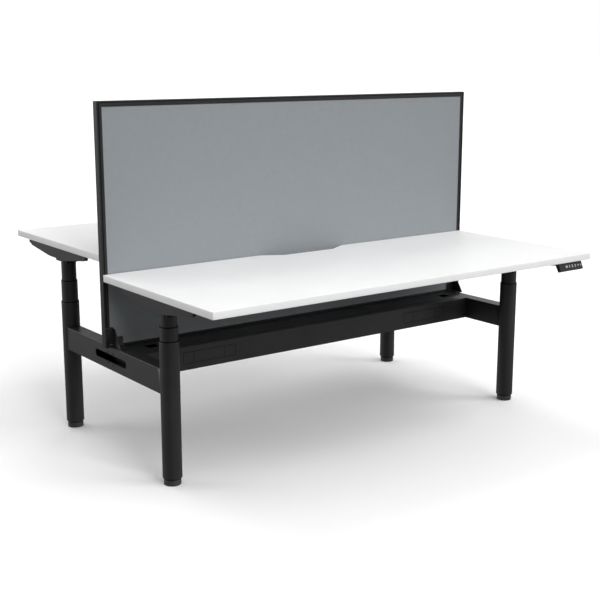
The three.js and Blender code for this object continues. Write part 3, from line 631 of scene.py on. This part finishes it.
BEAM_CORNER = 2.4 * MM
SHEET_BEND = 0.9 * MM
PLATE_EDGE = 0.5 * MM
PRESSED_EDGE = 0.6 * MM
CASE_EDGE = 1.0 * MM
LONG_BEAM, LONG_SHEET = 300 * MM, 1.0
SCORE_WIDTH = 1.7 * MM
SCORE_RISE = 0.08 * MM
KNOCK_OUT_LOW, KNOCK_OUT_HIGH = 355 * MM, 398 * MM
KNOCK_OUTS = {
    "left": (-662 * MM, -616 * MM, -482 * MM, -431 * MM),
    "right": (429 * MM, 480 * MM, 613 * MM, 659 * MM),
}
SCORE_ROUND, SCORE_EDGE = 0.3 * MM, 0.04 * MM
SCREW = 3.2 * MM
BRACKET_FRONT = -17.3 * MM
BRACKET_SCREW_X = 893 * MM
BRACKET_SCREWS_Z = (488 * MM, 443 * MM)
SLOT_X, SLOT_Y, SLOT_Z = 877.5 * MM, -14.5 * MM, 431.3 * MM
NUT_HALF_LONG, NUT_HALF_HIGH = 6.4 * MM, 2.3 * MM
NUT_ROUND, NUT_THICK, NUT_EDGE = 2 * MM, 2 * MM, 0.5 * MM
BEAM_SCREW = 3.3 * MM
BEAM_SCREW_AWAY = 20.5 * MM
EAR_THICK, EAR_IN, EAR_SCREW_AWAY = 2.5 * MM, 8 * MM, 15 * MM
TAB_THICK, TAB_IN, TAB_SCREW_IN = 5 * MM, 12 * MM, 20 * MM


def strip(a, b, width):
    """Thin flat bar between two points of a face, with square ends half a width past them."""
    a, b = np.asarray(a, float), np.asarray(b, float)
    way = (b - a) / np.linalg.norm(b - a) * width / 2
    aside = np.array([-way[1], way[0]])
    loop = np.stack([a - way - aside, b + way - aside, b + way + aside, a - way + aside])
    return slab(rounded_loop(loop, SCORE_ROUND, 2), -SCORE_RISE, SCORE_RISE, SCORE_EDGE, 2)


def knock_outs():
    """Scored outlines of the cable knock-outs on both walls of the duct: two long lines, crossed by
    four, drawn as raised near-black strips: painted shade of the score grooves."""
    low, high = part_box("cable_duct")
    for desk, y, sign in (("front", low[1], 1), ("rear", high[1], -1)):
        for side, across in KNOCK_OUTS.items():
            lines = [((x, KNOCK_OUT_LOW), (x, KNOCK_OUT_HIGH)) for x in across]
            lines += [((across[0], z), (across[-1], z)) for z in (KNOCK_OUT_LOW, KNOCK_OUT_HIGH)]
            wall = ((0, y, 0), (sign, 0, 0), (0, 0, 1))
            parts = [on_face(strip(a, b, SCORE_WIDTH), *wall) for a, b in lines]
            piece(f"knock_out_{desk}_{side}", parts, BOLT_AND_SCORE_SHADE_BLACK, "base")


def frame_screws(side, sign):
    """Button heads that hold the bracket to the post, a nut in its oval slot, and the four heads on the
    beam's outer face that hold the duct."""
    x = sign * BRACKET_SCREW_X
    heads = [screw_head((x, BRACKET_FRONT, z), (0, -1, 0), SCREW) for z in BRACKET_SCREWS_Z]
    piece(f"bracket_screws_{side}", heads, BOLT_AND_SCORE_SHADE_BLACK, "base")
    long, tall = NUT_HALF_LONG, NUT_HALF_HIGH
    outline = rounded_loop([(-long, -tall), (long, -tall), (long, tall), (-long, tall)], NUT_ROUND, 5)
    nut = slab(outline, 0, NUT_THICK, NUT_EDGE, 3)
    piece(f"bracket_nut_{side}", [on_face(nut, (sign * SLOT_X, SLOT_Y, SLOT_Z), (1, 0, 0), (0, 0, 1))],
          BRIGHT_STEEL, "base")
    low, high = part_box(f"end_beam_{side}")
    face = low[0] if side == "left" else high[0]
    middle = (low[2] + high[2]) / 2
    aways = (-BEAM_SCREW_AWAY, BEAM_SCREW_AWAY)
    heads = [screw_head((face, y, middle + z), (sign, 0, 0), BEAM_SCREW) for y in aways for z in aways]
    piece(f"beam_screws_{side}", heads, BOLT_AND_SCORE_SHADE_BLACK, "base")


def desk_screws(desk):
    """Heads under the control box's ears and under the handset's mounting tab."""
    low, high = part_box(f"control_box_{desk}")
    y = (low[1] + high[1]) / 2
    under = high[2] - EAR_THICK
    heads = [screw_head((x, y + away, under), (0, 0, -1), SCREW)
             for x in (low[0] + EAR_IN, high[0] - EAR_IN) for away in (-EAR_SCREW_AWAY, EAR_SCREW_AWAY)]
    piece(f"control_box_screws_{desk}", heads, BRIGHT_STEEL, f"{desk}_desk")
    low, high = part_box(f"handset_{desk}")
    tab = high[1] - TAB_IN if desk == "front" else low[1] + TAB_IN
    under = high[2] - TAB_THICK
    heads = [screw_head((x, tab, under), (0, 0, -1), SCREW)
             for x in (low[0] + TAB_SCREW_IN, high[0] - TAB_SCREW_IN)]
    piece(f"handset_screws_{desk}", heads, BRIGHT_STEEL, f"{desk}_desk")


for side, sign in (("left", -1), ("right", 1)):
    eased(f"end_beam_{side}", BEAM_CORNER, long_edges(1, LONG_BEAM), 4)
    eased(f"screen_bracket_{side}", PLATE_EDGE, segments=2)
    frame_screws(side, sign)
eased("cable_duct", SHEET_BEND, long_edges(0, LONG_SHEET))
knock_outs()
for desk in DESKS:
    eased(f"duct_lid_{desk}", PLATE_EDGE, long_edges(0, LONG_SHEET), 2)
    eased(f"crossbar_{desk}", SHEET_BEND, long_edges(0, LONG_SHEET))
    eased(f"control_box_{desk}", CASE_EDGE, segments=2)
    desk_screws(desk)
for desk, side in PLACES:
    eased(f"side_arm_{desk}_{side}", PRESSED_EDGE, segments=2)
    eased(f"drive_unit_{desk}_{side}", PRESSED_EDGE, segments=2)


# Handsets

FACE_LEAN = math.atan2(13, 30)
KEY_HALF = 1.8 * MM
HANDSET_EDGE, KEY_EDGE = 0.8 * MM, 0.35 * MM
LEGEND_HEIGHT = 11 * MM
LEGEND_WEIGHT = 0.02
LEGEND_RISE = 0.06 * MM
WORDS = {"memory": "M", "one": "1", "two": "2", "three": "3"}


def printed(word):
    """Outline of a figure or letter, one unit high, centred, as a flat closed mesh."""
    curve = bpy.data.curves.new("legend", "FONT")
    curve.body = word
    curve.extrude = 0.5
    curve.offset = LEGEND_WEIGHT
    holder = bpy.data.objects.new("legend", curve)
    bpy.context.scene.collection.objects.link(holder)
    depsgraph = bpy.context.evaluated_depsgraph_get()
    mesh = bpy.data.meshes.new_from_object(holder.evaluated_get(depsgraph))
    points = np.empty(len(mesh.vertices) * 3)
    mesh.vertices.foreach_get("co", points)
    points = points.reshape(-1, 3)
    faces = [list(p.vertices) for p in mesh.polygons]
    bpy.data.meshes.remove(mesh)
    bpy.data.objects.remove(holder)
    bpy.data.curves.remove(curve)
    low, high = points.min(0), points.max(0)
    points = (points - (low + high) / 2) / (high[1] - low[1])
    points[:, 2] = np.sign(points[:, 2])
    return points, faces


def arrow(way):
    """Chevron that points up or down: a bent bar of even width."""
    wide, tall, thick = 0.42, 0.3, 0.2
    loop = np.array([(-wide, -tall), (-wide + thick, -tall), (0, tall - 1.5 * thick), (wide - thick, -tall),
                     (wide, -tall), (0, tall)])
    flat = np.concatenate([loop * (1, way), loop * (1, way)])
    points = np.concatenate([flat, np.repeat([-1.0, 1.0], len(loop))[:, None]], axis=1)
    n = len(loop)
    faces = grid_faces(2, n, False, True).tolist()
    return points, faces + [[0, 1, 2, 5], [2, 3, 4, 5], [6, 7, 8, 11], [8, 9, 10, 11]]


def key_legends(desk):
    """Pale marks printed on the keys, laid on the leaning face and riding on their keys."""
    sign = 1 if desk == "front" else -1
    u = np.array([sign, 0.0, 0.0])
    v = np.array([0.0, sign * math.sin(FACE_LEAN), math.cos(FACE_LEAN)])
    out = np.cross(u, v)
    for key in KEYS:
        low, high = (np.array(c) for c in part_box(f"key_{key}_{desk}"))
        points, faces = printed(WORDS[key]) if key in WORDS else arrow(1 if key == "up" else -1)
        points = points * (LEGEND_HEIGHT, LEGEND_HEIGHT, LEGEND_RISE)
        part = on_face((points, faces), (low + high) / 2 + out * KEY_HALF, u, v)
        piece(f"legend_{key}_{desk}", [part], LEGEND_WHITE, f"key_{key}_{desk}")


for desk in DESKS:
    case = eased(f"handset_{desk}", HANDSET_EDGE, segments=3)
    case.data.materials[0] = HANDSET_PLASTIC
    key_legends(desk)
    for key in KEYS:
        eased(f"key_{key}_{desk}", KEY_EDGE, segments=2)


# Stage, light and camera

FLOOR_TONE, FLOOR_REACH = 0.984, 400.0
LIGHT_SPREAD = math.radians(30.0)
DOME_STRENGTH = 3.0
# Side that an entry shines from (none: all round), where its light starts and is full, levels by height
DOME = [
    ((0.0, 0.0, 0.0), (-1.0, 0.0), [
        (-1.0, 0.25), (-0.06, 0.25), (-0.03, 0.0), (0.75, 0.0), (0.9, 0.78), (1.0, 0.78),
    ]),
    ((0.594, 0.805, 0.0), (-0.2, 0.3), [(-0.06, 0.0), (-0.03, 1.0), (0.055, 1.0), (0.075, 0.0)]),
    ((-0.594, 0.805, 0.0), (0.2, 0.8), [(0.055, 0.0), (0.075, 2.3), (0.2, 2.3), (0.3, 0.0)]),
]
# Degrees around from +X, degrees up from the floor, strength
LIGHTS = {
    "right_light": (0.0, 48.0, 0.33),
    "right_rear_light": (45.0, 30.0, 0.34),
    "rear_light": (90.0, 55.0, 0.77),
    "low_left_rear_light": (135.0, 12.0, 0.77),
    "left_rear_light": (135.0, 48.0, 0.11),
    "left_front_light": (225.0, 57.0, 0.23),
    "low_front_light": (270.0, 12.0, 0.15),
    "front_light": (270.0, 30.0, 1.4),
    "low_key_light": (315.0, 12.0, 0.62),
    "key_light": (315.0, 48.0, 0.92),
}
AZIMUTH, ELEVATION = math.radians(-36.43), math.radians(12.39)
CAMERA_PLACE = (-2.6748, -3.6259, 1.4732)
LENS, SENSOR = 66.56, 36.0


def stage_floor():
    """Wide pale floor. Its own bounce is left out, so that the undersides stay as dark as in the photo."""
    mesh = bpy.data.meshes.new("studio_floor")
    r = FLOOR_REACH
    mesh.from_pydata([(-r, -r, 0), (r, -r, 0), (r, r, 0), (-r, r, 0)], [], [(0, 1, 2, 3)])
    obj = bpy.data.objects.new("studio_floor", mesh)
    bpy.context.scene.collection.objects.link(obj)
    material = bpy.data.materials.new("pale_floor")
    material.use_nodes = True
    shader = material.node_tree.nodes["Principled BSDF"]
    shader.inputs["Base Color"].default_value = (FLOOR_TONE, FLOOR_TONE, FLOOR_TONE, 1)
    shader.inputs["Roughness"].default_value = 1.0
    shader.inputs["Specular IOR Level"].default_value = 0.0
    mesh.materials.append(material)
    obj.visible_diffuse = False
    obj.visible_glossy = False


def studio_dome():
    """Dome of soft light: dim below and bright overhead, with a white horizon on the far side and a bright
    band above it on the left-hand far side. What the camera sees behind the object is white all round."""
    world = bpy.data.worlds.new("studio")
    bpy.context.scene.world = world
    world.use_nodes = True
    tree = world.node_tree
    way = node(tree, "ShaderNodeTexCoord").outputs["Generated"]
    height = node(tree, "ShaderNodeSeparateXYZ", {0: way}).outputs["Z"]
    share = node(tree, "ShaderNodeMapRange", {0: height, 1: -1.0, 2: 1.0, 3: 0.0, 4: 1.0}).outputs[0]
    total = 0.0
    for side, (start, full), levels in DOME:
        level = node(tree, "ShaderNodeValToRGB", {0: share})
        stops = level.color_ramp.elements
        while len(stops) < len(levels):
            stops.new(0.5)
        for stop, (z, strength) in zip(stops, levels):
            stop.position = (z + 1) / 2
            stop.color = (*3 * [strength / DOME_STRENGTH], 1)
        turn = node(tree, "ShaderNodeVectorMath", {0: way, 1: side}, operation="DOT_PRODUCT")
        facing = turn.outputs["Value"]
        lit = node(tree, "ShaderNodeMapRange", {0: facing, 1: start, 2: full, 3: 0.0, 4: 1.0}).outputs[0]
        total = maths(tree, "ADD", maths(tree, "MULTIPLY", level.outputs["Color"], lit), total)
    seen = node(tree, "ShaderNodeLightPath").outputs["Is Camera Ray"]
    total = maths(tree, "MAXIMUM", total, maths(tree, "DIVIDE", seen, DOME_STRENGTH))
    tree.links.new(total, tree.nodes["Background"].inputs["Color"])
    tree.nodes["Background"].inputs["Strength"].default_value = DOME_STRENGTH


def soft_sun(name, around, up, strength):
    """Distant wide light. The object sees it at the given angle around from +X, and up from the floor."""
    data = bpy.data.lights.new(name, "SUN")
    data.energy = strength
    data.angle = LIGHT_SPREAD
    obj = bpy.data.objects.new(name, data)
    bpy.context.scene.collection.objects.link(obj)
    flat = math.cos(up)
    towards = Vector((math.cos(around) * flat, math.sin(around) * flat, math.sin(up)))
    obj.rotation_euler = towards.to_track_quat("Z", "Y").to_euler()


studio_dome()
for name, (around, up, strength) in LIGHTS.items():
    soft_sun(name, math.radians(around), math.radians(up), strength)
stage_floor()

camera_data = bpy.data.cameras.new("camera")
camera_data.sensor_width = SENSOR
camera_data.lens = LENS
camera = bpy.data.objects.new("camera", camera_data)
bpy.context.scene.collection.objects.link(camera)
camera.location = CAMERA_PLACE
back = Vector((
    math.sin(AZIMUTH) * math.cos(ELEVATION),
    -math.cos(AZIMUTH) * math.cos(ELEVATION),
    math.sin(ELEVATION),
))
camera.rotation_euler = back.to_track_quat("Z", "Y").to_euler()
bpy.context.scene.camera = camera
bpy.context.scene.view_settings.view_transform = "Standard"
